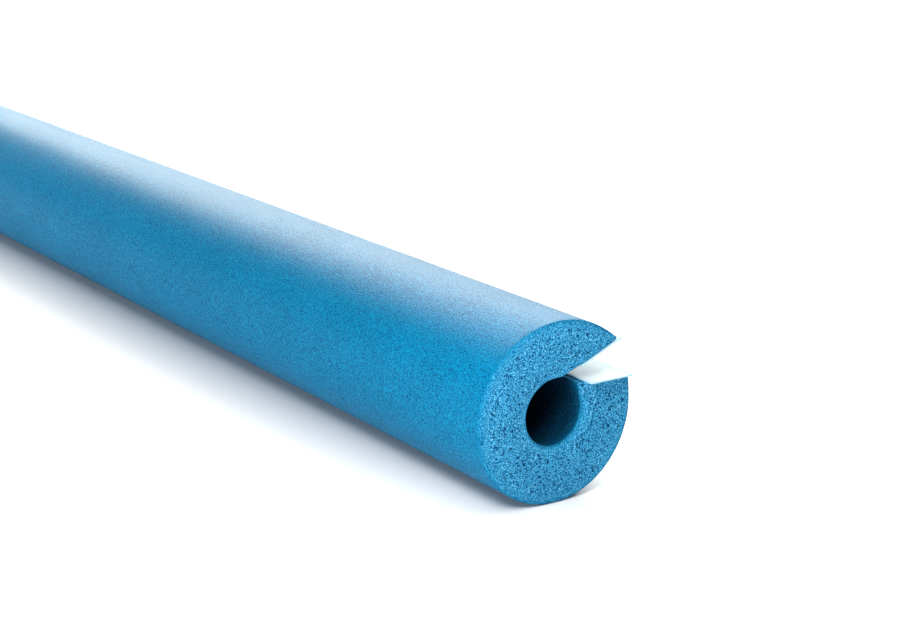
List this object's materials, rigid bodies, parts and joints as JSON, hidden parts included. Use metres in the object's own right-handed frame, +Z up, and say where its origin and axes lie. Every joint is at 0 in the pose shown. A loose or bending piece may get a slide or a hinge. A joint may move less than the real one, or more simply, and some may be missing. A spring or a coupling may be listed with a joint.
{
  "type": "pipe insulation lagging",
  "caption": "Length of round closed-cell foam pipe insulation, slit along its length and sprung open, with release liners over the self-seal strips.",
  "frame": {"origin": "on the floor under the middle of the sleeve, at the bottom centre of its bounding box", "axes": "+Y along the sleeve from its front end to its rear end, +Z up, the slit opens towards +X"},
  "size_m": [0.078, 1.0044, 0.0787],
  "materials": {
    "foam": "satin blue foam",
    "liner": "smooth release paper"
  },
  "bodies": {
    "root": {"foam_sleeve": "foam", "lip_release_liner": "liner", "flap_release_liner": "liner"}
  },
  "joints": []
}
